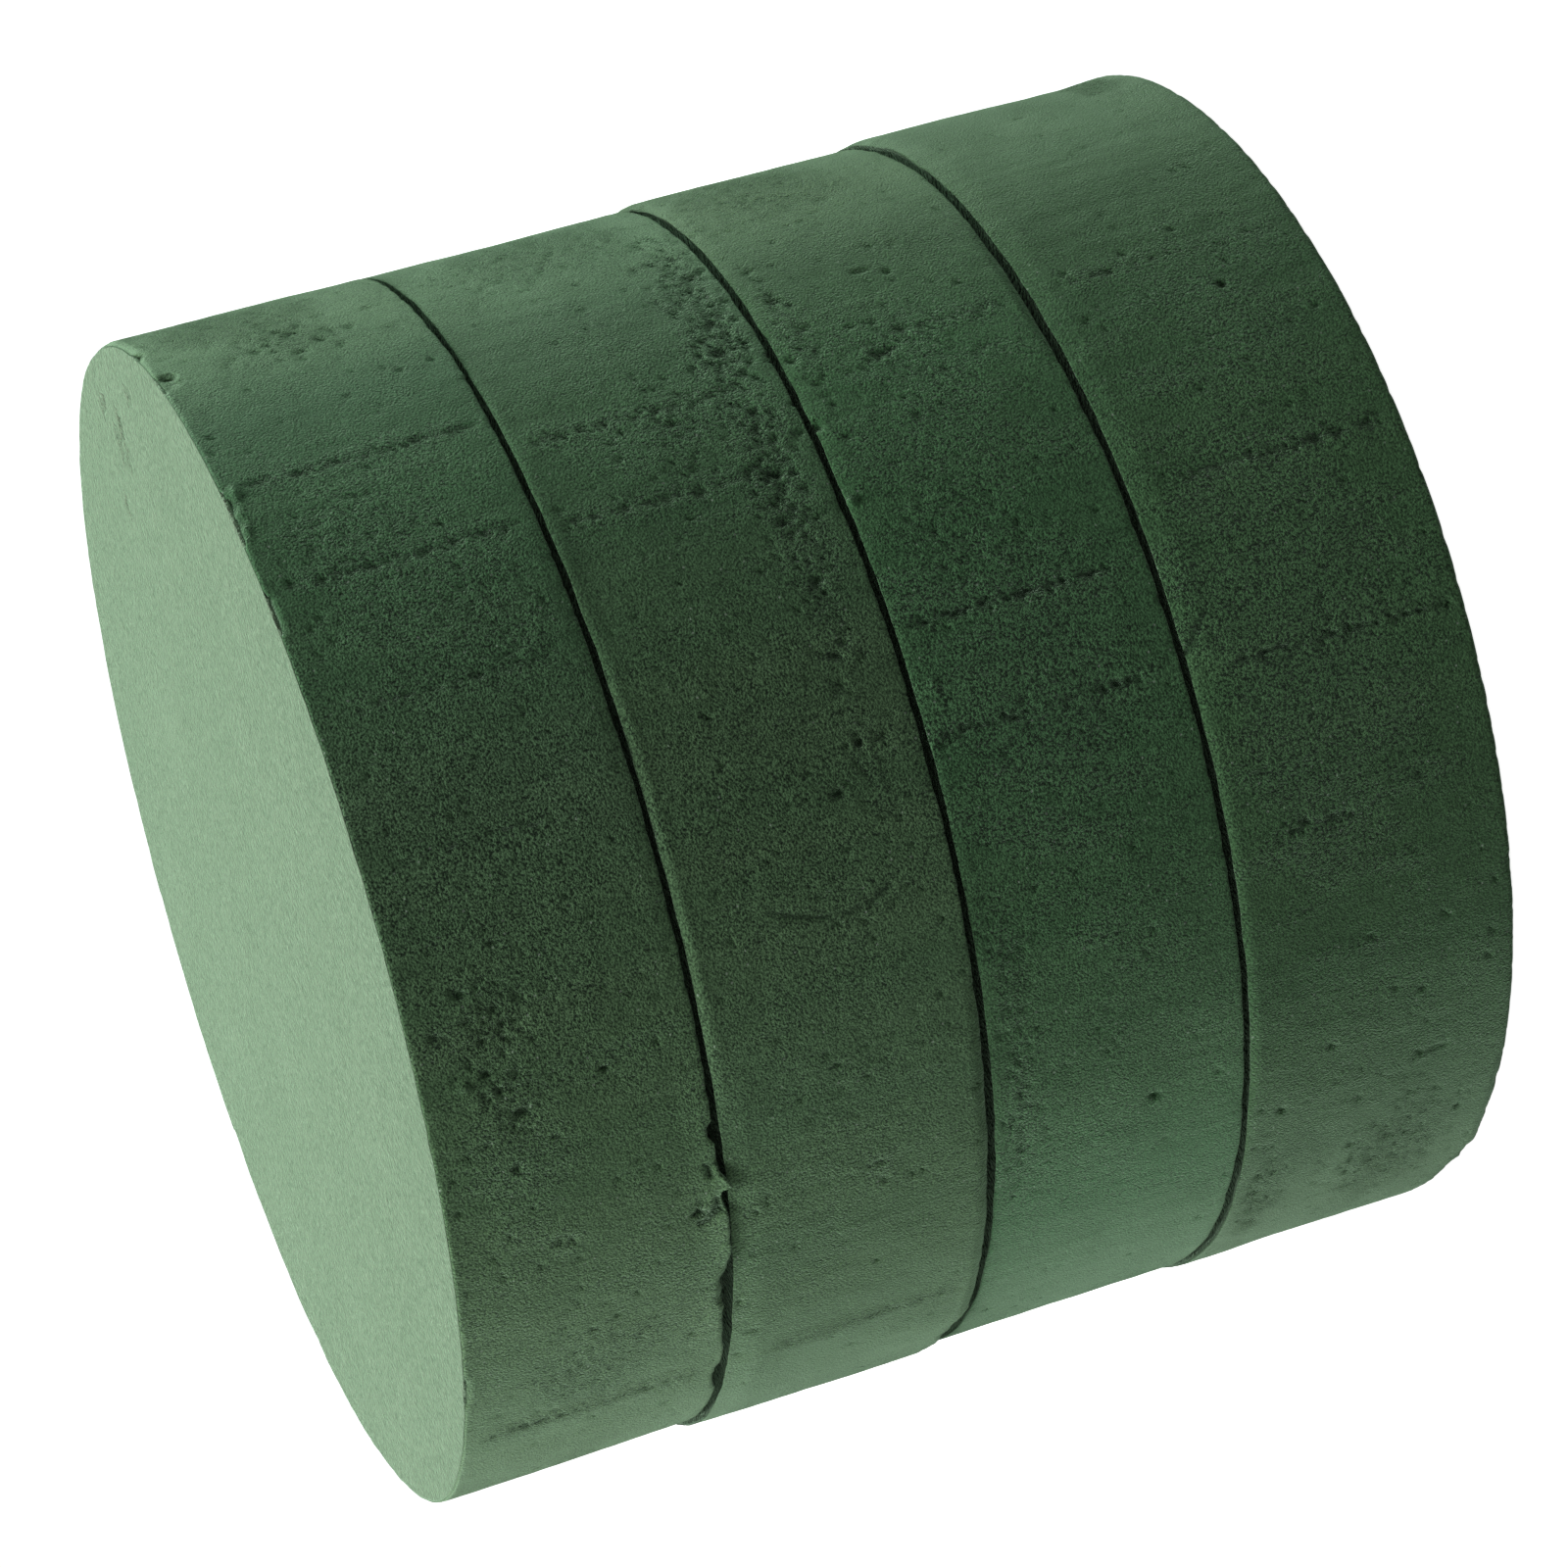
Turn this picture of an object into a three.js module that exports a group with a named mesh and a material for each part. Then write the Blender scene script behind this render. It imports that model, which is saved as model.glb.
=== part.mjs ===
// Round slices of floral foam, loose, resting on one another in a column.
// Millimetres, +Z up along the column. The origin is the middle of the underside.
import * as THREE from "three";

// Driving dimensions.
const sliceDiameter = 110; // the width of the standard foam brick that the slices come from
const sliceThickness = 25;
const faceGap = 0.3; // clearance between two faces that rest on each other
const punchRound = 1.8; // edge radius where the punch entered the foam
const breakRound = 0.8; // edge radius where it broke through
const columnSegments = 96;
const stepsPerRound = 4;

// What hand sawing and punching leave on each slice, from the bottom up: how far its diameter
// and thickness are from the nominal ones, how far it lies off the column's axis, how much its
// upper face slopes up towards +X, and the radius of its upper edge.
const slices = [
  { name: "foam_disc_bottom", extraDiameter: 1.1, extraThickness: 1.3, shift: 0.1, slopeDeg: 0.35 },
  { name: "foam_disc_lower", extraDiameter: 0.3, extraThickness: -1.3, shift: 0, slopeDeg: -0.45 },
  { name: "foam_disc_upper", extraDiameter: 0.3, extraThickness: -0.4, shift: -0.5, slopeDeg: 0 },
  { name: "foam_disc_top", extraDiameter: 0, extraThickness: -0.8, shift: -0.2, slopeDeg: 0 },
];

const dryFoam = { color: 0x5c8060, roughness: 0.95, metalness: 0 };

// Points of a quarter turn about (radius - round, height), from one angle to the other.
function edgeArc(radius, height, round, fromDeg, toDeg) {
  const points = [];
  for (let step = 0; step <= stepsPerRound; step += 1) {
    const angle = THREE.MathUtils.degToRad(fromDeg + ((toDeg - fromDeg) * step) / stepsPerRound);
    const x = radius - round + round * Math.cos(angle);
    points.push(new THREE.Vector2(x, height + round * Math.sin(angle)));
  }
  return points;
}

// Half the section of a slice, from the middle of its underside round to the middle of its top.
function sliceProfile(radius, thickness) {
  return [
    new THREE.Vector2(0, 0),
    ...edgeArc(radius, breakRound, breakRound, -90, 0),
    ...edgeArc(radius, thickness - punchRound, punchRound, 0, 90),
    new THREE.Vector2(0, thickness),
  ];
}

// Tilts the faces: each point rises by its x times a slope that goes from the lower face's
// slope to the upper face's over the thickness, so both faces stay flat.
function slopeFaces(geometry, thickness, lowerDeg, upperDeg) {
  const lower = Math.tan(THREE.MathUtils.degToRad(lowerDeg));
  const upper = Math.tan(THREE.MathUtils.degToRad(upperDeg));
  const place = geometry.getAttribute("position");
  for (let i = 0; i < place.count; i += 1) {
    const slope = THREE.MathUtils.lerp(lower, upper, place.getZ(i) / thickness);
    place.setZ(i, place.getZ(i) + slope * place.getX(i));
  }
}

function makeSlice(slice, lowerDeg) {
  const radius = (sliceDiameter + slice.extraDiameter) / 2;
  const thickness = sliceThickness + slice.extraThickness;
  const geometry = new THREE.LatheGeometry(sliceProfile(radius, thickness), columnSegments);
  geometry.rotateX(Math.PI / 2);
  slopeFaces(geometry, thickness, lowerDeg, slice.slopeDeg);
  geometry.computeVertexNormals();
  const mesh = new THREE.Mesh(geometry, new THREE.MeshStandardMaterial(dryFoam));
  mesh.name = slice.name;
  mesh.position.x = slice.shift;
  return mesh;
}

// Each slice stands on the one before it, and its lower face has that one's slope.
const group = new THREE.Group();
let height = 0;
let slopeBelow = 0;
for (const slice of slices) {
  const mesh = makeSlice(slice, slopeBelow);
  mesh.position.z = height;
  group.add(mesh);
  height += sliceThickness + slice.extraThickness + faceGap;
  slopeBelow = slice.slopeDeg;
}

export default group;
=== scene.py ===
# Four loose round slices of floral foam, resting on one another in a column.
# Metres, +Z up the column, front at -Y. Angles on a slice go from 0 at the front to 90 at +X.
from itertools import product
from math import cos, pi, radians, sin

import bpy
import numpy as np
from mathutils import Matrix, Vector


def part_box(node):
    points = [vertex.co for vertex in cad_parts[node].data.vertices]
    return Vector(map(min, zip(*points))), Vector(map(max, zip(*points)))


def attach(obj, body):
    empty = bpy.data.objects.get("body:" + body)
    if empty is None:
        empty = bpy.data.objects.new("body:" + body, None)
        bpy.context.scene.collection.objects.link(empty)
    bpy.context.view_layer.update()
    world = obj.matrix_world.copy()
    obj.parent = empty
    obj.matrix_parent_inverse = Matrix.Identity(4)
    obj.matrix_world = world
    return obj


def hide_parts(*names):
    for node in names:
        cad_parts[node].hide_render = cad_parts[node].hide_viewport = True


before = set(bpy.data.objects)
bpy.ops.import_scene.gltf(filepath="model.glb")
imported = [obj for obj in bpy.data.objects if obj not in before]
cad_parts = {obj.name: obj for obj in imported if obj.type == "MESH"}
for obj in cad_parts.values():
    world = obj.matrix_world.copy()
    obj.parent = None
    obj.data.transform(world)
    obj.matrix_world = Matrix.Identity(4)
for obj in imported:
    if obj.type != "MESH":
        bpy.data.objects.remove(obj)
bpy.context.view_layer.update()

MM = 0.001


# ---------------------------------------------------------------- camera

CAMERA_DISTANCE = 485.6 * MM
CAMERA_ELEVATION = radians(15.39)
CAMERA_ROLL = radians(-106.19)  # the column lies on its side in the picture, top face to the left
CAMERA_AIM = Vector((-1.04 * MM, 0, 48.08 * MM))
CAMERA_LENS = 118.08


def make_camera():
    data = bpy.data.cameras.new("camera")
    data.lens = CAMERA_LENS
    data.clip_start = 0.01
    camera = bpy.data.objects.new("camera", data)
    bpy.context.scene.collection.objects.link(camera)
    back = Vector((0, -cos(CAMERA_ELEVATION), sin(CAMERA_ELEVATION)))
    turn = Matrix.Rotation(pi / 2 - CAMERA_ELEVATION, 4, "X") @ Matrix.Rotation(CAMERA_ROLL, 4, "Z")
    camera.matrix_world = Matrix.Translation(CAMERA_AIM + back * CAMERA_DISTANCE) @ turn
    bpy.context.scene.camera = camera


make_camera()


# ---------------------------------------------------------------- noise

class Noise:
    """Smooth seeded noise in space, about -1 to 1."""

    CELLS = 4096
    SCALE = 1.7  # brings the noise up to about -1 to 1

    def __init__(self, seed):
        random = np.random.default_rng(seed)
        self.order = random.permutation(self.CELLS)
        slopes = random.normal(size=(self.CELLS, 3))
        self.slopes = slopes / np.linalg.norm(slopes, axis=1)[:, None]

    def __call__(self, points, size):
        """The noise at the points, with lumps `size` across: one number, or one for each axis."""
        place = points / size
        cell = np.floor(place).astype(np.int64)
        part = place - cell
        ease = part**3 * (part * (part * 6 - 15) + 10)
        total = np.zeros(len(points))
        for corner in product((0, 1), repeat=3):
            x, y, z = ((cell + corner) % self.CELLS).T
            pick = self.order[(self.order[(self.order[x] + y) % self.CELLS] + z) % self.CELLS]
            slope = ((part - corner) * self.slopes[pick]).sum(axis=1)
            total += slope * np.where(corner, ease, 1 - ease).prod(axis=1)
        return total * self.SCALE

    def layers(self, points, size, count, gain=0.5):
        """Noise with `count` layers, each half the size of the one before."""
        size = np.asarray(size, float)
        return sum(gain**k * self(points, size / 2**k) for k in range(count))


def smooth(low, high, value):
    """0 at low, 1 at high, and an easy curve between them; low may be above high."""
    t = np.clip((value - low) / (high - low), 0, 1)
    return t * t * (3 - 2 * t)


def bell(away, width):
    """1 at 0, falling to about a third at the width and to 0 further out."""
    return np.exp(-((away / width) ** 2))


# ---------------------------------------------------------------- disc mesh

ROUND_COUNT = 832  # points round the wall
CROWDING = 0.3  # how much closer together they are at the front, and further apart at the back
ROW_STEP = 0.33 * MM
STEP_GROWTH = 1.15  # how much wider apart the rings of a face get, one after the other
WIDEST_GAP = 1.35  # a ring halves its points where they then are this many ring steps apart or less
ARC_STEPS = 5


def face_rings(outer, coarsest):
    """(radius, point count) of a face's rings from its edge inwards, coarser towards the middle."""
    rings = []
    radius, step, count = outer, ROW_STEP, ROUND_COUNT
    while radius - step > 2 * coarsest:
        radius -= step
        step = min(step * STEP_GROWTH, coarsest)
        if count % 2 == 0 and 2 * pi * radius / (count // 2) < WIDEST_GAP * step:
            count //= 2
        rings.append((radius, count))
    return rings


def disc_rings(radius, thickness, rounds, coarsest):
    """Rings from the middle of the underside, up the wall, to the middle of the top: each is
    (radius, height, slope of the outward normal in degrees, point count)."""
    low, high = rounds
    rings = [(r, 0, -90, n) for r, n in face_rings(radius - low, coarsest[0])[::-1]]
    for step in range(ARC_STEPS):
        slope = -90 + 90 * step / ARC_STEPS
        a = radians(slope)
        rings.append((radius - low + low * cos(a), low + low * sin(a), slope, ROUND_COUNT))
    wall = thickness - low - high
    rows = round(wall / ROW_STEP)
    for row in range(rows):
        rings.append((radius, low + wall * row / rows, 0, ROUND_COUNT))
    for step in range(ARC_STEPS + 1):
        slope = 90 * step / ARC_STEPS
        a = radians(slope)
        height = thickness - high + high * sin(a)
        rings.append((radius - high + high * cos(a), height, slope, ROUND_COUNT))
    return rings + [(r, thickness, 90, n) for r, n in face_rings(radius - high, coarsest[1])]


def joining_faces(first, count, after, after_count):
    """Faces from a ring of points to the ring after it, which has as many, half or twice."""
    i = np.arange(min(count, after_count))
    j = (i + 1) % len(i)
    if count == after_count:
        return np.stack([first + i, first + j, after + j, after + i], 1).tolist()
    left, middle, right = 2 * i, 2 * i + 1, 2 * j
    if count > after_count:
        corners = [(first + left, first + middle, after + i), (first + middle, first + right, after + j),
                   (first + middle, after + j, after + i)]
    else:
        corners = [(first + i, after + middle, after + left), (first + i, first + j, after + middle),
                   (first + j, after + right, after + middle)]
    return np.concatenate([np.stack(c, 1) for c in corners]).tolist()


def disc_faces(counts):
    """The faces over all the rings, with a middle point before the first and after the last."""
    firsts = np.cumsum([1] + counts).tolist()
    last = firsts[-1]
    faces = [(0, 1 + (i + 1) % counts[0], 1 + i) for i in range(counts[0])]
    for k in range(len(counts) - 1):
        faces += joining_faces(firsts[k], counts[k], firsts[k + 1], counts[k + 1])
    top = firsts[-2]
    return faces + [(top + i, top + (i + 1) % counts[-1], last) for i in range(counts[-1])]


INTO = {"low": 1, "high": -1}  # the way from an edge into the slice, up or down
UNEVEN = ((0.12, 16), (0.05, 5), (0.02, 1.6))  # (height, width) in mm of the lumps in every wall
LITTLE_HOLES = 500  # in each wall
WIDEST_PIT = 2  # nothing further than this from a pit's middle is in it, mm
RIM_WAVES = 0.09 * MM
DISH_PAINTED_SHADE = 1.6  # how much painted shade a hollowed face gets inside a joint
GROOVE = 0.22 * MM
GROOVE_FRAY = 0.6 * MM
GROOVE_BARE = 1.6 * MM
GROOVE_PITS = 3.5  # per mm of a scratch
CRUMBLE_PITS = 1.2  # per half width times half height of a crumbled patch
NICK_HALF_WIDTH = 0.9 * MM


class Surface:
    """A slice's points as flat lists, in metres and degrees, and what is done to them."""

    def __init__(self, radius, thickness, rounds, coarsest, seed):
        rings = disc_rings(radius, thickness, rounds, coarsest)
        rings = [(0, 0, -90, 1)] + rings + [(0, thickness, 90, 1)]
        counts = [ring[3] for ring in rings]
        self.faces = disc_faces(counts[1:-1])
        self.radius, self.thickness = radius, thickness
        self.reach, self.height, self.slope = (
            np.concatenate([np.full(ring[3], float(ring[k])) for ring in rings]) for k in range(3))
        turn = np.concatenate([2 * pi * np.arange(n) / n - pi for n in counts])
        self.angle = np.degrees(turn - CROWDING * np.sin(turn))
        self.wall = np.cos(np.radians(self.slope))
        self.low_edge = np.maximum(self.height, radius - self.reach)
        self.high_edge = np.maximum(thickness - self.height, radius - self.reach)
        self.noise = Noise(seed)
        self.random = np.random.default_rng(seed)
        self.place = self.points()  # where the noise is read
        self.known = {}
        self.rise = self.height.copy()  # the height of each point before any mark
        # how much painted shade each point gets
        self.painted_shade = np.zeros(len(self.angle))
        self.torn = np.zeros(len(self.angle))
        self.bare = np.zeros(len(self.angle))

    def points(self):
        turn = np.radians(self.angle)
        return np.stack([self.reach * np.sin(turn), -self.reach * np.cos(turn), self.height], 1)

    def lumps(self, shift, size, count=1, gain=0.5):
        """The slice's noise, `shift` metres off, with lumps of a size in mm; worked out only once."""
        key = (shift, size, count, gain)
        if key not in self.known:
            self.known[key] = self.noise.layers(self.place + shift, np.array(size) * MM, count, gain)
        return self.known[key]

    def along(self, angle):
        """Metres round the wall from an angle."""
        return np.radians((self.angle - angle + 180) % 360 - 180) * self.radius

    def inwards(self):
        """Metres in from the wall."""
        return self.radius - self.reach

    def from_edge(self, edge):
        """Metres up or down the wall from an edge, before any mark."""
        return self.rise if edge == "low" else self.thickness - self.rise

    def push_in(self, depth, painted_shade=1.0):
        """Moves each point in by its depth; painted_shade says how much painted shade it gets, darker the
        deeper it is pushed in.
        """
        tilt = np.radians(self.slope)
        self.reach = self.reach - depth * np.cos(tilt)
        self.height = self.height - depth * np.sin(tilt)
        self.painted_shade += painted_shade * np.clip(depth, 0, None)

    def roughen(self):
        """What the whole slice has: a hand-cut unevenness, faint streaks up the wall, worn edges
        and scattered little holes, with painted shade in the frayed lower edge and in the holes."""
        uneven = sum(height * self.lumps(0, width) for height, width in UNEVEN)
        streaks = self.lumps(0, (1.1, 1.1, 18)) * smooth(-0.3, 0.5, self.lumps(0, 21))
        wisps = self.lumps(5, (0.9, 0.9, 5), 2)
        self.push_in(self.wall * (uneven + 0.03 * streaks + 0.02 * wisps) * MM, painted_shade=0)
        flat = 0.05 + 0.05 * self.lumps(0, 9) + 0.03 * self.lumps(0, 1.8)
        self.push_in((1 - self.wall) * np.clip(flat, 0, None) * MM, painted_shade=0)
        frayed = np.clip(self.lumps(0, 1.8, 3, 0.6), 0, None) * smooth(1.0, 0.2, self.low_edge / MM)
        # the frayed lower edge gets painted shade as well as its dents
        self.push_in(0.1 * frayed * MM, painted_shade=0.5)
        dented = np.clip(self.lumps(1, 3, 2), 0, None) * smooth(1.4, 0.3, self.high_edge / MM)
        self.push_in(0.05 * dented * MM, painted_shade=0)
        across = self.random.uniform(-pi, pi, LITTLE_HOLES) * self.radius / MM
        height = self.random.uniform(0.8, self.thickness / MM - 0.8, LITTLE_HOLES)
        self.pits(0, across, height, 0.6, 0.3)

    def pits(self, angle, across, height, size, depth):
        """Ragged little holes, up to `size` wide and `depth` deep, at places in mm round the wall
        from the angle and in mm up it, with painted shade in them."""
        round_wall, up = self.along(angle) / MM, self.rise / MM
        order = np.argsort(round_wall)
        starts, ends = (np.searchsorted(round_wall[order], across + side)
                        for side in (-WIDEST_PIT, WIDEST_PIT))
        dents = np.zeros(len(up))
        ragged = 0.5 * self.lumps(4, 0.7)
        for x, y, start, end in zip(across, height, starts, ends):
            near = order[start:end]
            wide = size * self.random.uniform(0.2, 0.5)
            long = wide * self.random.uniform(1, 2.2)
            dx, dy = round_wall[near] - x, up[near] - y
            away = np.hypot((dx + self.random.normal() * 0.5 * dy) / wide, dy / long) + ragged[near]
            dent = self.random.uniform(0.3, 1) * depth * smooth(1, 0.3, away)
            dents[near] = np.maximum(dents[near], dent)
        # painted shade in the holes, deeper ones darker
        self.push_in(self.wall * dents * MM)
        self.torn = np.maximum(self.torn, 0.7 * self.wall * smooth(0, 0.1, dents))

    def span(self, angle, half_angle, ease=0.35):
        """1 at an angle, 0 from half_angle away from it on."""
        return smooth(1, ease, np.abs(self.along(angle)) / (radians(half_angle) * self.radius))

    def lift(self, edge, angle, half_angle, depth):
        """Wears a face back round its edge, which opens the joint with the slice next to it."""
        face = smooth(20, 60, -INTO[edge] * self.slope)
        waves = 1 + 0.5 * self.lumps(6, 4, 2)
        near = smooth(5, 0.5, self.inwards() / MM) * face * self.span(angle, half_angle, 0.3) * waves
        self.height = self.height + INTO[edge] * near * depth * MM

    def dish(self, edge, depth):
        """Hollows out a face behind its rim and paints shade on that ring, so that the joint is dark
        inside, and makes the rim wavy."""
        inside = self.inwards() / MM
        rim = smooth(1.2, 0, self.from_edge(edge) / MM) * smooth(5, 0.5, inside)
        self.height = self.height + INTO[edge] * rim * RIM_WAVES * self.lumps(7, 4, 2)
        ring = smooth(20, 60, -INTO[edge] * self.slope) * smooth(5, 1.5, inside)
        self.height = self.height + INTO[edge] * ring * smooth(0.3, 1.0, inside) * depth * MM
        # painted shade on the face inside the joint
        self.painted_shade += DISH_PAINTED_SHADE * ring * depth * MM

    def flare(self, edge, angle, half_angle, over, out):
        """Lets the wall stand out, or fall back if `out` is negative, over the last `over` mm."""
        near = smooth(over, 0, self.from_edge(edge) / MM) * smooth(3, 0.5, self.inwards() / MM)
        self.reach = self.reach + near * self.span(angle, half_angle) * out * MM

    def bevel(self, edge, angle, half_angle, over, inward):
        """Slants the wall back towards an edge, most at the edge itself."""
        near = np.clip(1 - self.from_edge(edge) / (over * MM), 0, 1) ** 2 * self.span(angle, half_angle)
        near = near * smooth(3, 0.5, self.inwards() / MM)
        self.reach = self.reach - near * inward * MM

    def tongue(self, edge, angle, half_angle, out, over, slant=0.0):
        """A flap torn off an edge, that stands out and hangs over the joint; with a slant, it
        hangs over more at its lower angles."""
        near = smooth(1.2, 0.2, self.from_edge(edge) / MM) * smooth(0.9, 0.3, self.inwards() / MM)
        across = np.clip(self.along(angle) / (radians(half_angle) * self.radius), -1, 1)
        near = near * self.span(angle, half_angle, 0.5 + 0.4 * slant) * (1 - slant * across) / (1 + slant)
        self.reach = self.reach + near * out * MM
        self.height = self.height - INTO[edge] * near * over * MM

    def crumble(self, angle, height, half_angle, half_height, depth, size=1.0):
        """A patch of ragged little pits, densest in its middle."""
        half_width = radians(half_angle) * self.radius / MM
        count = round(CRUMBLE_PITS * half_width * half_height / size**2)
        across = 0.45 * half_width * self.random.normal(size=count)
        up = 0.45 * half_height * self.random.normal(size=count)
        self.pits(angle, across, height + up, size, depth)
        shape = np.hypot(self.along(angle) / MM / half_width, (self.rise / MM - height) / half_height)
        patch = self.wall * smooth(1.0, 0.3, shape + 0.25 * self.lumps(8, 3))
        self.torn = np.maximum(self.torn, 0.35 * patch)
        self.bare = np.maximum(self.bare, 0.55 * patch)

    def chip(self, angle, half_angle, down, depth):
        """A flake gone from the wall under the upper edge: a shallow step, ragged below."""
        below = (self.thickness - self.rise) / MM
        across = self.along(angle) / (radians(half_angle) * self.radius)
        inside = np.hypot(across, below / down) + 0.3 * self.lumps(5, 1.3, 2)
        # the step gets painted shade
        self.push_in(smooth(0, 0.5, self.wall) * smooth(1.05, 0.9, inside) * depth * MM, painted_shade=0.6)

    def open(self, angle, height, half_angle, half_height, amount):
        """A patch where the dust is off and the cells of the foam show."""
        across = self.along(angle) / (radians(half_angle) * self.radius)
        up = (self.rise - height * MM) / (half_height * MM)
        ragged = 0.4 * self.lumps(9, (3, 3, 9), 3)
        self.bare = np.maximum(self.bare, amount * smooth(1.1, 0.3, np.hypot(across, up) + ragged))

    def drag(self, angle, low, high, depth, lean=0.0):
        """A broken scratch up the wall; it leans by so many degrees over its length."""
        part = (self.rise / MM - low) / (high - low)
        away = self.along(angle) - radians(lean) * self.radius * (part - 0.5)
        away = away + 0.3 * MM * self.lumps(2, 5)
        length = self.wall * smooth(0, 0.12, part) * smooth(1, 0.88, part)
        broken = smooth(-0.35, 0.4, self.lumps(3, (1, 1, 1.4), 2))
        # the scratch gets strong painted shade
        self.push_in(length * bell(away, GROOVE) * broken * depth * MM, painted_shade=2.2)
        self.torn = np.maximum(self.torn, 0.9 * length * bell(away, GROOVE_FRAY))
        self.bare = np.maximum(self.bare, 0.6 * length * bell(away, GROOVE_BARE))
        count = round(GROOVE_PITS * (high - low))
        place = self.random.uniform(0.02, 0.98, count)
        across = radians(lean) * self.radius / MM * (place - 0.5)
        across = across + 0.28 * self.random.normal(size=count)
        self.pits(angle, across, low + (high - low) * place, 0.5, 2 * depth)

    def pit(self, angle, height, width, length, depth):
        """One hole in the wall, `length` up the wall; a negative depth makes a crumb instead."""
        across = self.along(angle) / (width / 2 * MM)
        up = (self.rise - height * MM) / (length / 2 * MM)
        away = np.hypot(across, up) + 0.35 * self.lumps(4, 0.7)
        # a hole gets painted shade; a crumb gets none
        self.push_in(self.wall * smooth(1.15, 0.5, away) * depth * MM)
        self.torn = np.maximum(self.torn, 0.5 * self.wall * smooth(2, 1, away) * (depth > 0))

    def crack(self, points, depth, width=0.26):
        """A crack through (angle, height) points; where it sinks in, it gets painted shade."""
        nearest = np.full(len(self.angle), 1.0)
        for (angle, height), (next_angle, next_height) in zip(points, points[1:]):
            across, up = self.along(angle), self.rise - height * MM
            run = np.array((radians(next_angle - angle) * self.radius, (next_height - height) * MM))
            part = np.clip((across * run[0] + up * run[1]) / (run @ run), 0, 1)
            nearest = np.minimum(nearest, np.hypot(across - part * run[0], up - part * run[1]))
        open_part = smooth(-0.9, -0.2, self.lumps(7, 1.5))
        # the crack gets strong painted shade
        self.push_in(self.wall * open_part * bell(nearest, width * MM) * depth * MM, painted_shade=3)

    def cut(self, edge, angle, half_angle, down, inward):
        """Breaks an edge away on a slant that takes `down` off the wall and `inward` off the face."""
        depth = self.height if edge == "low" else self.thickness - self.height
        span = self.span(angle, half_angle)
        ragged = 1 + 0.3 * self.lumps(5, 2.2, 3)
        a, b = 1 / (inward * MM), 1 / (down * MM)
        short = np.clip(span * ragged - self.inwards() * a - depth * b, 0, None)
        short = short * (span > 0) / (a * a + b * b)
        self.reach = self.reach - short * a
        self.height = self.height + INTO[edge] * short * b
        self.torn = np.maximum(self.torn, smooth(0, 0.5 * MM, short * b) * 0.7)

    def nick(self, x, y, length, turn, depth):
        """A dent in the upper face: its middle in mm, its length, and the way it points in degrees."""
        dx, dy = self.place[:, 0] - x * MM, self.place[:, 1] - y * MM
        c, s = cos(radians(turn)), sin(radians(turn))
        away = np.hypot((dx * c + dy * s) / (length / 2 * MM), (dy * c - dx * s) / NICK_HALF_WIDTH)
        away = away + 0.15 * self.lumps(4, 1.4)
        top = smooth(45, 90, self.slope)
        # the dent gets a little painted shade
        self.push_in(top * smooth(1.1, 0.4, away) * depth * MM, painted_shade=0.35)

    def wear_back(self):
        """Gives the half of the wall at the back marks like those at the front, at random places."""
        tall = self.thickness / MM
        pick = self.random.uniform
        for angle in pick(92, 268, 8):
            self.drag(angle, pick(1, 6), pick(13, tall - 1), pick(0.08, 0.16))
        for angle in pick(95, 265, 4):
            self.open(angle, pick(8, 18), pick(8, 20), pick(6, 14), pick(0.4, 1))
        for angle in pick(95, 265, 7):
            self.crumble(angle, pick(2, tall - 2), pick(5, 12), pick(2, 6), pick(0.2, 0.4), pick(0.55, 0.7))
        for angle in pick(90, 270, 12):
            self.pit(angle, pick(2, tall - 2), pick(0.6, 1.2), pick(0.8, 2.2), pick(0.25, 0.5))
        for angle in pick(90, 270, 4):
            self.chip(angle, pick(1, 4), pick(0.4, 1.2), pick(0.25, 0.5))
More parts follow.
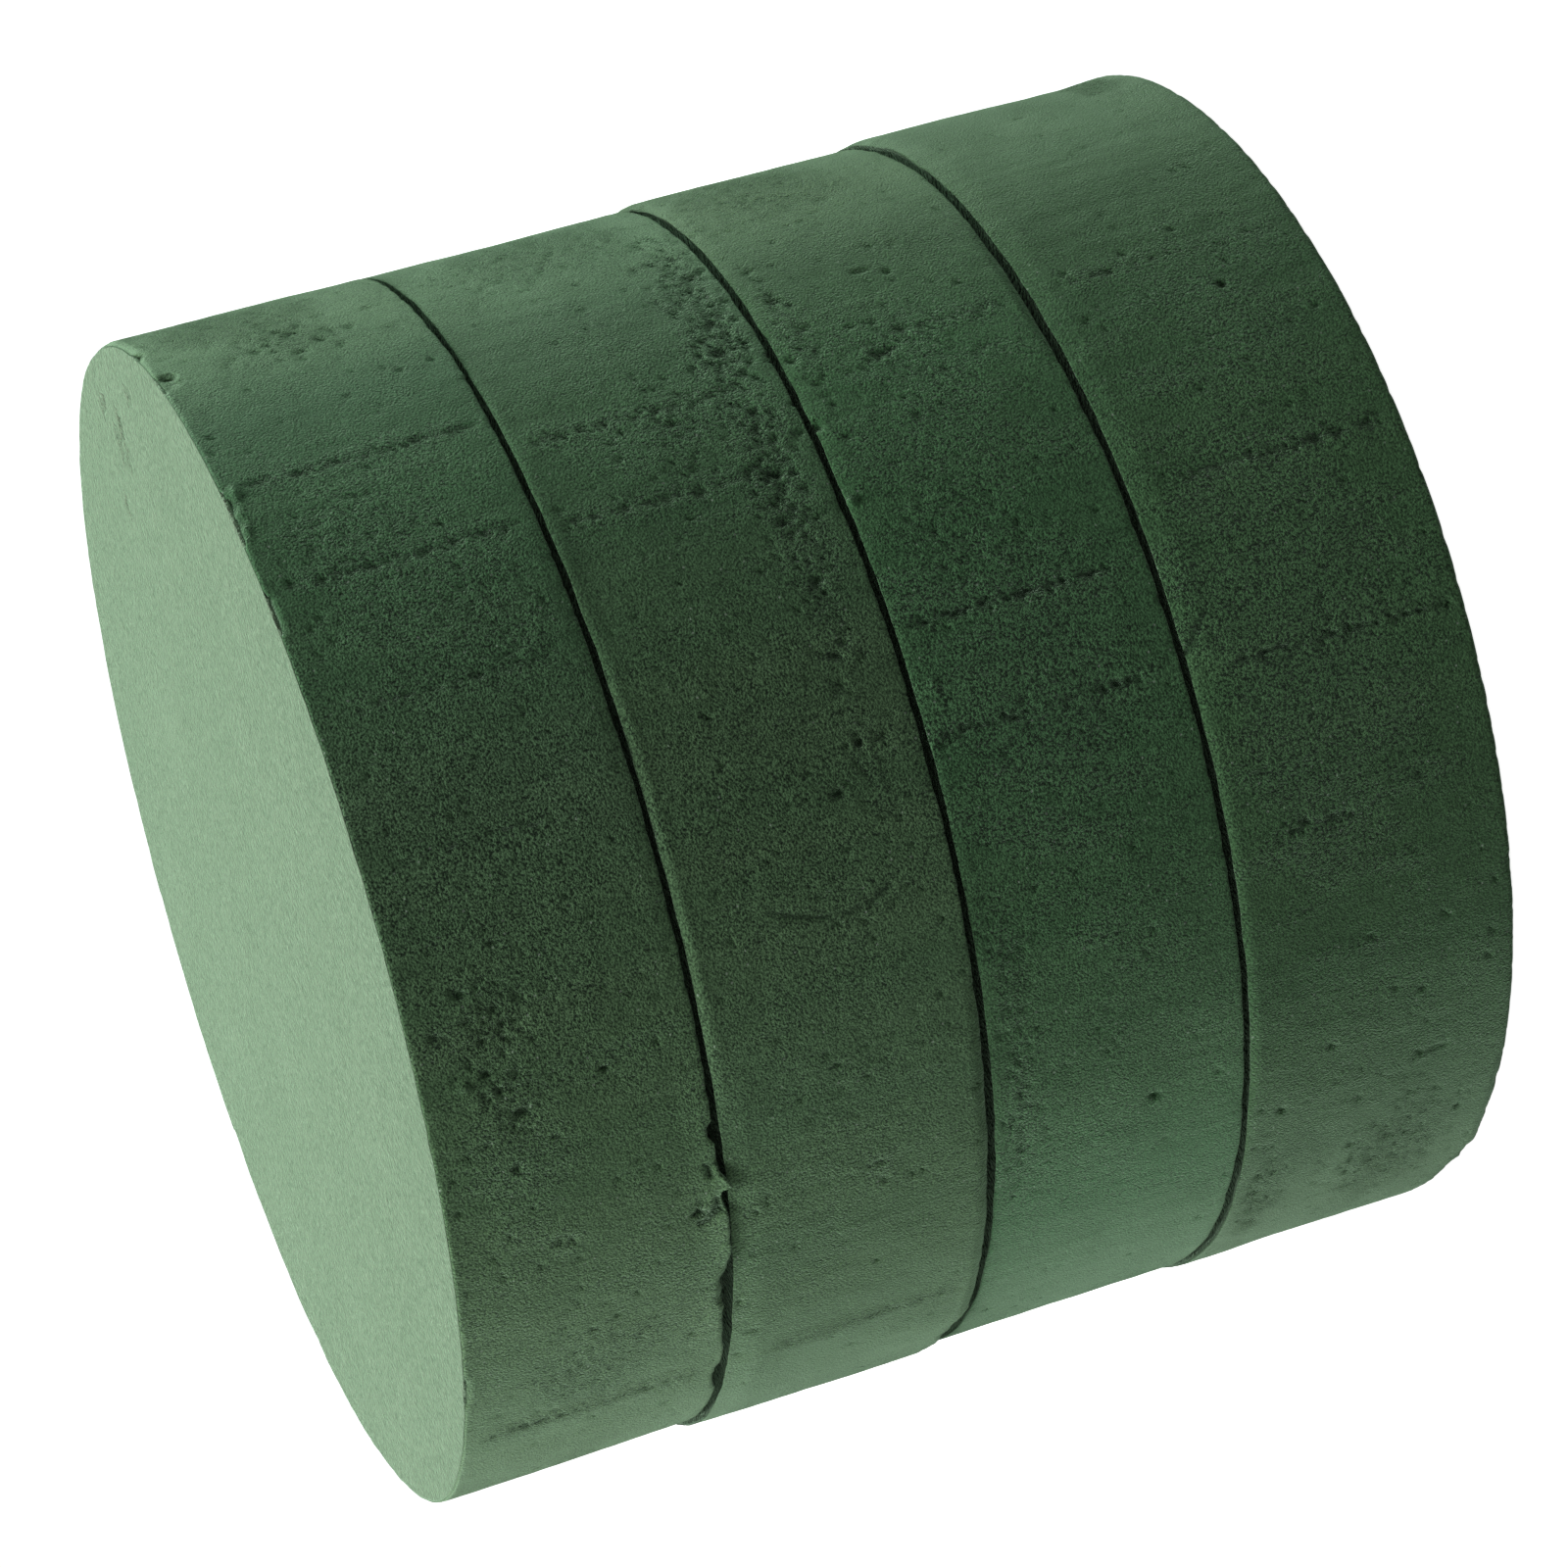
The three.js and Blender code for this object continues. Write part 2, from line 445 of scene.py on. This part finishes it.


# ---------------------------------------------------------------- the slices

# What each slice is like. rounds are the radii of its lower and upper edges and coarsest the
# point spacing in the middle of its lower and upper faces, in mm; slopes are its faces' slopes up
# towards +X in degrees; tint_and_painted_light is the tint of its wall at some angles, blended
# between them: partly the foam's own tint, partly painted light and shade that makes the wall
# lighter or darker at some angles round it. The marks follow the order of the arguments of
# Surface's methods.
SLICES = {
    "foam_disc_bottom": {
        "body": "disc_bottom", "seed": 11,
        "rounds": (0.6, 0.3), "coarsest": (1.6, 1.6), "slopes": (0, 0.35),
        "tint_and_painted_light": ((-68, (0.75, 0.7, 0.6)), (-52, (0.5, 0.6, 0.45)), (-36, (0.6, 0.75, 0.6)),
                (-10, (0.9, 1, 0.9)), (25, (0.85, 1.05, 0.9)), (36, (0.8, 1, 0.85)),
                (50, (0.6, 0.7, 0.55)), (66, (0.9, 0.85, 0.75)), (180, (1, 1.05, 1))),
        "flare": [("high", -15, 30, 3, -0.05), ("high", 34, 50, 2.5, -0.3), ("low", 85, 40, 6, 0.3)],
        "bevel": [("high", -25, 40, 1.0, 0.55), ("high", 40, 50, 0.6, 0.1)],
        "lift": [("high", 0, 180, 0.2)],
        "dish": [("high", 0.4)],
        "open": [(0, 15, 32, 14, 1), (28, 10, 14, 12, 0.6), (-38, 14, 14, 12, 0.3)],
        "drag": [(15.5, 1, 24, 0.24), (-2, 1, 23, 0.26), (38, 1, 24, 0.1), (-18, 14, 21, 0.2)],
        "crumble": [(-62, 10, 14, 7, 0.22, 0.55), (-62, 23, 12, 3, 0.22, 0.55),
                    (78, 4, 14, 3, 0.25, 0.8)],
        "pit": [(33, 10, 0.7, 0.7, 0.6), (-48, 23, 0.7, 1.0, 0.3), (-58, 24, 0.7, 1.2, 0.3),
                (-58, 11, 0.6, 1.8, 0.25), (-62, 12, 0.6, 1.4, 0.25), (-68, 23, 0.7, 1.6, 0.3),
                (-61, 24.4, 0.6, 1.2, 0.3), (-17.5, 19, 1.0, 0.9, 0.3), (-46, 7.6, 0.5, 3.0, 0.2)],
        "crack": [([(0, 26), (1, 25), (3, 23.5)], 0.35, 0.2)],
        "cut": [("low", -57, 12, 1.0, 0.5), ("low", -76, 14, 1.8, 0.7), ("high", 90, 30, 1.6, 0.5)],
    },
    "foam_disc_lower": {
        "body": "disc_lower", "seed": 12,
        "rounds": (0.3, 0.3), "coarsest": (1.6, 1.6), "slopes": (0.35, -0.45),
        "tint_and_painted_light": ((-68, (1, 1.2, 1.15)), (-52, (0.7, 1.1, 0.9)), (-34, (0.9, 1.05, 0.95)),
                (5, (0.8, 1, 0.9)), (36, (0.85, 1.15, 0.95)), (50, (0.6, 0.7, 0.55)),
                (64, (1.65, 1.35, 1.35)), (180, (1, 1.1, 1.05))),
        "flare": [("high", -30, 30, 3, 0.05), ("high", 50, 50, 2, -0.15)],
        "bevel": [("high", 0, 90, 0.7, 0.2), ("low", 40, 12, 1.2, 0.4)],
        "lift": [("low", 40, 14, 0.4), ("high", 0, 180, 0.25), ("high", 0, 30, 0.2)],
        "dish": [("low", 0.4), ("high", 0.4)],
        "open": [(0, 13, 26, 13, 1), (24, 12, 16, 13, 0.6), (-22, 8, 14, 8, 0.4), (40, 16, 8, 10, 0.4)],
        "drag": [(38, 2, 14, 0.12), (36, 13, 16.5, 0.2), (9.3, 3, 23, 0.3), (-0.9, 3, 23, 0.26)],
        "crumble": [(-38, 21, 14, 2.5, 0.22, 0.55), (-22, 21, 10, 2.5, 0.18, 0.55),
                    (42, 21, 10, 2.5, 0.25, 0.8), (35, 12, 9, 6, 0.18, 0.55),
                    (70, 14, 16, 12, 0.2, 0.9), (16, 15, 9, 9, 0.18, 0.55)],
        "pit": [(46, 21, 0.7, 1.8, 0.35), (38, 22.4, 0.7, 1.4, 0.35), (30, 23.2, 1.2, 0.8, 0.4),
                (47, 12, 0.6, 2.2, 0.3), (46, 10, 0.7, 0.8, 0.35), (-41, 8.6, 0.7, 1.4, 0.35),
                (21.6, 23.2, 0.9, 0.9, -0.5), (3.7, 21.8, 0.7, 0.7, -0.3)],
        "cut": [("high", 90, 30, 2.0, 0.6)],
    },
    "foam_disc_upper": {
        "body": "disc_upper", "seed": 13,
        "rounds": (0.25, 0.25), "coarsest": (1.6, 1.6), "slopes": (-0.45, 0),
        "tint_and_painted_light": ((-68, (1.15, 1.05, 1)), (-52, (0.85, 0.85, 0.7)), (-30, (1.25, 1.2, 1.2)),
                (6, (0.95, 0.9, 0.9)), (36, (0.9, 1.1, 1)), (50, (0.7, 0.8, 0.75)),
                (64, (1.75, 1.6, 1.75)), (180, (1.15, 1.1, 1.1))),
        "flare": [("high", 8, 34, 2, 0.12), ("high", -52, 34, 3, -0.3), ("low", 50, 50, 4, 0.12)],
        "bevel": [("high", -4, 28, 1.0, 0.75), ("high", 45, 35, 0.7, 0.2), ("low", -45, 30, 1.4, 0.5)],
        "lift": [("low", -42, 30, 0.8), ("high", 0, 180, 0.25)],
        "dish": [("low", 0.4), ("high", 0.4)],
        "open": [(30, 4.5, 34, 4, 0.6), (46, 14, 12, 9, 0.3), (34, 14, 6, 9, 0.5),
                 (-2, 13, 34, 16, 0.4)],
        "drag": [(37, 4, 24, 0.15), (27.5, 2, 24, 0.12), (-60.5, 1, 22, 0.1), (-38, 9, 12, 0.1)],
        "crumble": [(56, 2.6, 12, 2.6, 0.4, 0.6), (44, 3.2, 10, 3.2, 0.45, 0.65),
                    (33, 3.6, 9, 3.8, 0.4, 0.6), (24, 4.5, 9, 3.6, 0.4, 0.6),
                    (13, 4.5, 8, 2.8, 0.3, 0.6), (0, 5, 10, 2.4, 0.25, 0.55),
                    (35, 10, 6, 6, 0.25, 0.55), (70, 12, 14, 12, 0.2, 0.9)],
        "pit": [(42, 3.6, 1.0, 1.4, 0.35), (44, 4.6, 0.6, 1.4, 0.3), (46, 3, 0.6, 1.0, 0.3),
                (43, 2.4, 0.6, 1.0, 0.3), (34, 3.7, 0.7, 1.3, 0.3), (35, 10.6, 0.6, 2.0, 0.3),
                (27, 4.2, 0.8, 1.6, 0.45), (27, 11, 0.6, 1.2, 0.3), (22, 5.2, 0.6, 1.4, 0.4),
                (16, 4.4, 0.8, 1.2, 0.4), (9, 5.2, 0.9, 1.0, 0.4), (1, 5.4, 1.0, 1.0, 0.45),
                (54, 2, 0.8, 1.2, 0.35), (-2.7, 8.4, 0.7, 1.2, 0.6), (-56, 22.5, 0.5, 1.8, 0.25),
                (-60, 23.6, 0.5, 0.9, 0.25), (-51, 23.8, 0.5, 1.0, 0.25), (-38, 10.3, 0.5, 1.2, 0.25)],
        "crack": [([(-10.8, 17), (-12, 14.5), (-12.8, 12), (-13, 9.5), (-12.6, 7.5), (-11.6, 5.8)],
                   0.2, 0.2)],
        "cut": [("low", -80, 16, 1.8, 1.2)],
    },
    "foam_disc_top": {
        "body": "disc_top", "seed": 14,
        "rounds": (0.3, 0.35), "coarsest": (1.6, 0.7), "slopes": (0, 0),
        "tint_and_painted_light": ((-68, (1.7, 1.4, 1.4)), (-50, (1.3, 1.15, 1.1)), (-30, (1.2, 1.15, 1.1)),
                (6, (1, 0.95, 1)), (20, (0.85, 1, 0.95)), (36, (0.9, 1.15, 1.05)),
                (50, (0.75, 0.95, 0.95)), (64, (1.9, 1.65, 1.8)), (180, (1.2, 1.15, 1.15))),
        "flare": [("low", 8, 34, 1.5, -0.1), ("low", -40, 24, 3, 0.2)],
        "lift": [("low", -30, 4, 0.5)],
        "dish": [("low", 0.4)],
        "tongue": [("low", -34.9, 1.0, 0.45, 0.9, 0.9), ("low", -41, 4.2, 0.3, 0.35)],
        "open": [(0, 13, 30, 16, 0.5), (24, 12, 20, 12, 0.6), (-26, 17, 14, 7, 0.5),
                 (62, 12, 8, 8, 0.4)],
        "drag": [(40.7, 1, 23, 0.16), (28.5, 1, 23, 0.15), (15.7, 3, 22, 0.1), (1.8, 3, 22, 0.08),
                 (-61.6, 1, 23, 0.14), (-36.4, 13.4, 15.4, 0.2), (-38, 0.6, 3, 0.3)],
        "crumble": [(63, 11, 6, 5, 0.35, 0.8), (72, 14, 14, 12, 0.2, 0.9), (-14, 17, 6, 5, 0.25, 0.6),
                    (-21, 16.5, 5, 3.5, 0.25, 0.6), (32, 16, 8, 7, 0.18, 0.55),
                    (18, 6, 8, 6, 0.18, 0.55), (-54, 12, 9, 9, 0.15, 0.6)],
        "pit": [(65, 12, 0.6, 1.4, 0.4), (63.5, 11, 0.8, 1.6, 0.45), (60.5, 9, 0.6, 1.2, 0.35),
                (-10.5, 19, 0.6, 1.3, 0.4), (-12.6, 16.5, 0.6, 1.1, 0.4), (-14, 16, 0.8, 0.6, 0.35),
                (-15, 18, 0.7, 0.7, 0.35), (-18, 18.3, 0.7, 1.0, 0.4), (-20, 17.5, 1.0, 0.8, 0.3),
                (-22.3, 16, 0.8, 1.4, 0.45), (-27.5, 17.3, 0.8, 0.8, 0.3), (-20.6, 8.4, 0.5, 0.6, 0.5),
                (-7, 15.2, 0.5, 1.5, 0.3), (61, 23, 0.9, 1.4, 0.5), (-18.5, 20.4, 0.8, 0.8, -0.35)],
        "crack": [([(-13.4, 22), (-14, 20.8)], 0.15),
                  ([(-32.8, 1.2), (-33.6, 0.9), (-34.2, 0.9)], 0.3, 0.2),
                  ([(-36.8, 0.5), (-38, 0.8), (-38.9, 1.4), (-39.2, 2.2)], 0.3, 0.2),
                  ([(-33.2, 0.4), (-34.4, 0.2), (-36, 0)], -0.4, 0.2),
                  ([(40.8, 22.9), (39.3, 23.2), (37.7, 23.5), (36, 23.5), (34.2, 23.8)], -0.3, 0.25)],
        "chip": [(37.8, 3.4, 0.9, 0.5), (26.3, 2.2, 0.5, 0.35), (59.8, 1.8, 2.0, 0.28),
                 (69, 1.4, 0.9, 0.4), (-52, 2.5, 0.6, 0.25)],
        "cut": [("high", 80, 24, 0.8, 0.4), ("low", -48.5, 3.4, 0.9, 0.9), ("low", -54, 5, 0.5, 0.8),
                ("low", -29.6, 1.3, 0.7, 1.0), ("low", -64, 4, 0.7, 1.0)],
        "nick": [(46.6, -2.2, 7, 167, 0.7), (46, 0.6, 4.6, 168, 0.6), (50.4, 3.4, 3.2, 145, 0.5),
                 (49, -10.6, 2.2, 10, 0.4), (41, 6, 2.4, 170, 0.35)],
    },
}
MARKS = ("flare", "bevel", "lift", "dish", "tongue", "open", "crumble", "drag", "pit", "crack", "chip",
         "cut", "nick")
PAINTED_SHADE_FULL_DEPTH = 0.55 * MM  # a pit this deep gets the full painted shade


def disc_surface(name, spec):
    """The marked surface of a slice, and its points in the frame of the whole column."""
    low, high = (np.array(corner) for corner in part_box(name))
    radius = (high[1] - low[1]) / 2
    slopes = [np.tan(radians(slope)) for slope in spec["slopes"]]
    base = low[2] + radius * abs(slopes[0])
    thickness = high[2] - radius * abs(slopes[1]) - base
    rounds = [size * MM for size in spec["rounds"]]
    coarsest = [size * MM for size in spec["coarsest"]]
    surface = Surface(radius, thickness, rounds, coarsest, spec["seed"])
    surface.roughen()
    for mark in MARKS:
        for values in spec.get(mark, ()):
            getattr(surface, mark)(*values)
    surface.wear_back()
    points = surface.points()
    part = surface.rise / thickness
    points[:, 2] += points[:, 0] * (slopes[0] * (1 - part) + slopes[1] * part)
    points += ((low[0] + high[0]) / 2, 0, base)
    return surface, points


def set_attributes(mesh, surface, tint_and_painted_light):
    """Hands the material what it needs to know at each point: wear, painted shade, sawn or not, and a tint
    with painted light and shade in it.
    """
    values = {
        # painted shade, from how deep each point was pushed in
        "painted_shade": np.clip(surface.painted_shade / PAINTED_SHADE_FULL_DEPTH, 0, 1),
        "torn": np.clip(surface.torn, 0, 1),
        "bare": np.clip(surface.bare, 0, 1),
        "sawn": smooth(55, 85, np.abs(surface.slope)),
    }
    for key, value in values.items():
        mesh.attributes.new(key, "FLOAT", "POINT").data.foreach_set("value", value.astype(np.float32))
    angles, shades = zip(*tint_and_painted_light)
    # the tint, with its painted light and shade, blended between the listed angles
    tint = [np.interp(surface.angle, angles, channel, period=360) for channel in zip(*shades)]
    tint = np.stack(tint + [np.ones_like(surface.angle)], 1).astype(np.float32)
    mesh.attributes.new("tint_and_painted_light", "FLOAT_COLOR", "POINT").data.foreach_set("color", tint.ravel())


def make_disc(name, spec, material):
    surface, points = disc_surface(name, spec)
    mesh = bpy.data.meshes.new(name.replace("disc", "slice"))
    mesh.from_pydata(points, [], surface.faces)
    mesh.shade_smooth()
    set_attributes(mesh, surface, spec["tint_and_painted_light"])
    mesh.materials.append(material)
    piece = bpy.data.objects.new(mesh.name, mesh)
    bpy.context.scene.collection.objects.link(piece)
    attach(piece, spec["body"])
    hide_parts(name)


# ---------------------------------------------------------------- material

class Nodes:
    """Short calls for building a material's node tree."""

    def __init__(self, tree):
        self.tree = tree
        tree.nodes.clear()

    def add(self, kind, inputs=(), **settings):
        node = self.tree.nodes.new(kind)
        for key, value in settings.items():
            setattr(node, key, value)
        for key, value in dict(inputs).items():
            self.feed(node.inputs[key], value)
        return node

    def feed(self, socket, value):
        if isinstance(value, bpy.types.NodeSocket):
            self.tree.links.new(value, socket)
        else:
            socket.default_value = value

    def math(self, operation, a, b=0.0, clamp=False):
        node = self.add("ShaderNodeMath", {0: a, 1: b}, operation=operation, use_clamp=clamp)
        return node.outputs[0]

    def mix(self, factor, a, b, blend="MIX"):
        node = self.add("ShaderNodeMix", data_type="RGBA", blend_type=blend)
        colors = [socket for socket in node.inputs if socket.type == "RGBA"]
        self.feed(node.inputs[0], factor)
        self.feed(colors[0], a)
        self.feed(colors[1], b)
        return [socket for socket in node.outputs if socket.type == "RGBA"][0]

    def remap(self, value, low, high, to_low=0.0, to_high=1.0):
        inputs = {"Value": value, "From Min": low, "From Max": high, "To Min": to_low, "To Max": to_high}
        return self.add("ShaderNodeMapRange", inputs, clamp=True).outputs[0]

    def noise(self, where, size, detail=2.0, rough=0.5):
        inputs = {"Vector": where, "Scale": 1 / size, "Detail": detail, "Roughness": rough}
        return self.add("ShaderNodeTexNoise", inputs).outputs[0]

    def attribute(self, name):
        return self.add("ShaderNodeAttribute", attribute_name=name).outputs["Fac"]


WALL_COLOR = (0.060, 0.128, 0.0585, 1)
FACE_COLOR = (0.238, 0.324, 0.220, 1)
# the colour of the painted shade in pits, holes and joints
PAINTED_SHADE_COLOR = (0.008, 0.016, 0.009, 1)
SPECK_COLOR = (0.50, 0.60, 0.50, 1)
SHEEN_COLOR = (0.66, 1.0, 0.68, 1)
BAND_TINTS = ((0.86, 0.91, 0.89, 1), (1.14, 1.09, 1.11, 1))
CLOUD_TINTS = ((0.90, 0.92, 0.90, 1), (1.10, 1.08, 1.08, 1))
WALL_GRAIN_TINTS = ((0.0, 0.03, 0.02, 1), (2.3, 2.2, 2.25, 1))
FACE_GRAIN_TINTS = ((0.50, 0.54, 0.52, 1), (1.52, 1.47, 1.50, 1))
GRAIN_SIZE = 0.2 * MM
SAWN_GRAIN_SIZE = 0.5 * MM
CELL_SIZE = 0.3 * MM
CLOUD_SIZE = 14 * MM
TEAR_SIZE = (0.42 * MM, 0.42 * MM, 0.8 * MM)
BAND_SIZE = (5 * MM, 5 * MM, 60 * MM)
SPECK_SPACING = 1.2 * MM
SPECK_RADII = (0.11, 0.07)  # outer and inner, as parts of the spacing
SPECK_CHOICE = 0.5  # a place whose random number is over this has a speck
SPECK_STRENGTH = 0.45
SAWN_CONTRAST = 2.0
SAWN_RELIEF = 0.7
# how dark the painted shade in the small torn holes is
TEAR_PAINTED_SHADE = 0.7
TEAR_DEPTH = 0.18
CELL_DEPTH = 0.20
# how far the deepest pits are darkened towards the painted shade colour
PAINTED_SHADE_STRENGTH = 0.85


def stretched_noise(n, where, sizes):
    """Noise with a lump size of its own along each axis."""
    scale = [1 / size for size in sizes]
    scaled = n.add("ShaderNodeVectorMath", {0: where, 1: scale}, operation="MULTIPLY")
    return n.noise(scaled.outputs[0], 1.0, 3.0, 0.6)


def foam_grain(n, where, sawn):
    """The finest grain, coarser where the foam was sawn."""
    fine = n.noise(where, GRAIN_SIZE, 2.0, 0.5)
    coarse = n.noise(where, SAWN_GRAIN_SIZE, 2.0, 0.5)
    return n.math("ADD", fine, n.math("MULTIPLY", sawn, n.math("SUBTRACT", coarse, fine)))


def foam_cells(n, where, open_cells):
    """Slightly larger lumps, stronger where the cells are open; 0 on average."""
    cells = n.math("SUBTRACT", n.noise(where, CELL_SIZE, 2.0, 0.5), 0.5)
    return n.math("MULTIPLY", cells, n.math("ADD", n.math("MULTIPLY", open_cells, 0.4), 0.1))


def foam_tears(n, where, torn, bare):
    """1 in small torn holes, which are many in torn places and few elsewhere; they are sunk into the bumps
    and get painted shade.
    """
    tears = stretched_noise(n, where, TEAR_SIZE)
    loose = n.math("MAXIMUM", torn, n.math("ADD", n.math("MULTIPLY", bare, 0.15), 0.6))
    tears = n.math("ADD", tears, n.math("MULTIPLY", n.math("SUBTRACT", 1.0, loose), 0.4))
    return n.remap(tears, 0.46, 0.38)


def grain_tint(n, grain, cells, open_cells, sawn):
    """Dark and light grain, with more contrast where the cells are open."""
    contrast = n.math("ADD", n.math("MULTIPLY", open_cells, 3.2), 1.7)
    contrast = n.remap(sawn, 0.0, 1.0, contrast, SAWN_CONTRAST)
    speckle = n.math("ADD", n.math("SUBTRACT", grain, 0.5), cells)
    speckle = n.math("ADD", n.math("MULTIPLY", speckle, contrast), 0.5, clamp=True)
    dark, light = (n.mix(sawn, wall, face) for wall, face in zip(WALL_GRAIN_TINTS, FACE_GRAIN_TINTS))
    return n.mix(speckle, dark, light)


def pale_specks(n, where):
    """1 in small round specks of dust."""
    dust = n.add("ShaderNodeTexVoronoi", {"Vector": where, "Scale": 1 / SPECK_SPACING})
    chance = n.add("ShaderNodeSeparateColor", {0: dust.outputs["Color"]}).outputs[0]
    picked = n.math("GREATER_THAN", chance, SPECK_CHOICE)
    return n.math("MULTIPLY", n.remap(dust.outputs["Distance"], *SPECK_RADII), picked)


def foam_color(n, where, cloud, sawn, grain_color):
    """The foam's color without holes: tinted round the wall, with painted light and shade in that tint,
    banded up it, and cloudy.
    """
    tint_and_painted_light = n.add("ShaderNodeAttribute", attribute_name="tint_and_painted_light").outputs["Color"]
    bands = n.remap(stretched_noise(n, where, BAND_SIZE), 0.3, 0.7)
    # the tint round the wall is partly the foam's own and partly painted light and shade
    color = n.mix(1.0, WALL_COLOR, tint_and_painted_light, "MULTIPLY")
    color = n.mix(1.0, color, n.mix(bands, *BAND_TINTS), "MULTIPLY")
    color = n.mix(sawn, color, FACE_COLOR)
    color = n.mix(1.0, color, n.mix(cloud, *CLOUD_TINTS), "MULTIPLY")
    return n.mix(1.0, color, grain_color, "MULTIPLY")


def foam_relief(n, grain, cells, tears, open_cells, sawn):
    """The bumps of the grain, in mm, with the torn holes sunk in them."""
    rough = n.math("ADD", n.math("MULTIPLY", open_cells, 0.38), 0.12)
    rough = n.math("ADD", n.math("MULTIPLY", sawn, SAWN_RELIEF), rough)
    height = n.math("ADD", n.math("MULTIPLY", grain, rough), n.math("MULTIPLY", cells, CELL_DEPTH))
    height = n.math("SUBTRACT", height, n.math("MULTIPLY", tears, TEAR_DEPTH))
    return n.add("ShaderNodeBump", {"Height": height, "Strength": 1.0, "Distance": MM}).outputs[0]


def foam_material():
    """Dry floral foam: a dusty open-celled grain, paler where it was sawn, with painted shade in its pits
    and small holes.
    """
    material = bpy.data.materials.new("dry_floral_foam")
    material.use_nodes = True
    n = Nodes(material.node_tree)
    where = n.add("ShaderNodeTexCoord").outputs["Object"]
    painted_shade, torn, bare, sawn = (n.attribute(key) for key in ("painted_shade", "torn", "bare", "sawn"))
    cloud = n.noise(where, CLOUD_SIZE, 3.0, 0.55)
    open_cells = n.math("MAXIMUM", bare, n.remap(cloud, 0.45, 0.75, 0.05, 0.4))
    grain = foam_grain(n, where, sawn)
    cells = foam_cells(n, where, open_cells)
    tears = foam_tears(n, where, torn, bare)

    color = foam_color(n, where, cloud, sawn, grain_tint(n, grain, cells, open_cells, sawn))
    # painted shade in the small torn holes
    color = n.mix(n.math("MULTIPLY", tears, TEAR_PAINTED_SHADE), color, PAINTED_SHADE_COLOR)
    # Painted shade: the deeper a point was pushed into a pit, scratch, crack, chip, nick or joint, the
    # darker it is made.
    color = n.mix(n.math("MULTIPLY", painted_shade, PAINTED_SHADE_STRENGTH), color, PAINTED_SHADE_COLOR)
    color = n.mix(n.math("MULTIPLY", pale_specks(n, where), SPECK_STRENGTH), color, SPECK_COLOR)

    bumps = foam_relief(n, grain, cells, tears, open_cells, sawn)
    shader = n.add("ShaderNodeBsdfPrincipled", {
        "Base Color": color, "Roughness": 0.95, "Specular IOR Level": 0.0, "Normal": bumps,
        "Sheen Weight": 1.0, "Sheen Roughness": 0.5, "Sheen Tint": SHEEN_COLOR})
    n.add("ShaderNodeOutputMaterial", {"Surface": shader.outputs[0]})
    return material


foam = foam_material()
for slice_name, slice_spec in SLICES.items():
    make_disc(slice_name, slice_spec, foam)


# ---------------------------------------------------------------- floor, light and world

FLOOR_HALF = 3.0
PAPER_COLOR = (0.9, 0.9, 0.9, 1)
PAPER_GLOW = 0.9
AMBIENT_COLOR = (1, 0.97, 0.98, 1)
AMBIENT_STRENGTH = 0.153
LIGHT_AIM = Vector((0, 0, 0.05))  # the middle of the column

# Each soft box: its place, its size, its power in watts and its color.
LIGHTS = {
    "top_box": ((0, -0.17, 0.74), (0.4, 0.3), 4.3, (1, 1, 1)),
    "left_box": ((-0.565, 0.205, 0.25), (0.3, 0.6), 1.6, (0.94, 1, 0.94)),
    "right_box": ((0.54, 0.275, 0.25), (0.3, 0.6), 1.65, (0.74, 1, 0.83)),
}


def make_floor():
    mesh = bpy.data.meshes.new("floor")
    corners = ((-1, -1), (1, -1), (1, 1), (-1, 1))
    mesh.from_pydata([(x * FLOOR_HALF, y * FLOOR_HALF, 0) for x, y in corners], [], [(0, 1, 2, 3)])
    floor = bpy.data.objects.new("floor", mesh)
    bpy.context.scene.collection.objects.link(floor)
    material = bpy.data.materials.new("white_paper")
    material.use_nodes = True
    n = Nodes(material.node_tree)
    paper = n.add("ShaderNodeBsdfPrincipled", {
        "Base Color": PAPER_COLOR, "Roughness": 0.9,
        "Emission Color": (1, 1, 1, 1), "Emission Strength": PAPER_GLOW})
    n.add("ShaderNodeOutputMaterial", {"Surface": paper.outputs[0]})
    mesh.materials.append(material)
    floor.visible_diffuse = False  # the paper is too far from the lights to light the foam
    floor.visible_glossy = False


def make_light(name, place, size, power, color):
    """A soft box, `size` wide and high, that faces the middle of the column."""
    data = bpy.data.lights.new(name, "AREA")
    data.shape = "RECTANGLE"
    data.size, data.size_y = size
    data.energy = power
    data.color = color
    light = bpy.data.objects.new(name, data)
    light.location = place
    aim = LIGHT_AIM - Vector(place)
    light.rotation_euler = aim.to_track_quat("-Z", "Y").to_euler()
    light.visible_camera = False
    bpy.context.scene.collection.objects.link(light)


def make_world():
    """White behind the object; weak even light on it."""
    world = bpy.data.worlds.new("studio")
    bpy.context.scene.world = world
    world.use_nodes = True
    n = Nodes(world.node_tree)
    seen = n.add("ShaderNodeBackground", {"Color": (1, 1, 1, 1), "Strength": 1.0})
    ambient = n.add("ShaderNodeBackground", {"Color": AMBIENT_COLOR, "Strength": AMBIENT_STRENGTH})
    camera_ray = n.add("ShaderNodeLightPath").outputs["Is Camera Ray"]
    both = n.add("ShaderNodeMixShader", {0: camera_ray, 1: ambient.outputs[0], 2: seen.outputs[0]})
    n.add("ShaderNodeOutputWorld", {"Surface": both.outputs[0]})


make_floor()
make_world()
for light_name, light_values in LIGHTS.items():
    make_light(light_name, *light_values)
bpy.context.scene.view_settings.view_transform = "Standard"
bpy.context.scene.cycles.denoising_prefilter = "NONE"  # keeps the finest grain of the foam
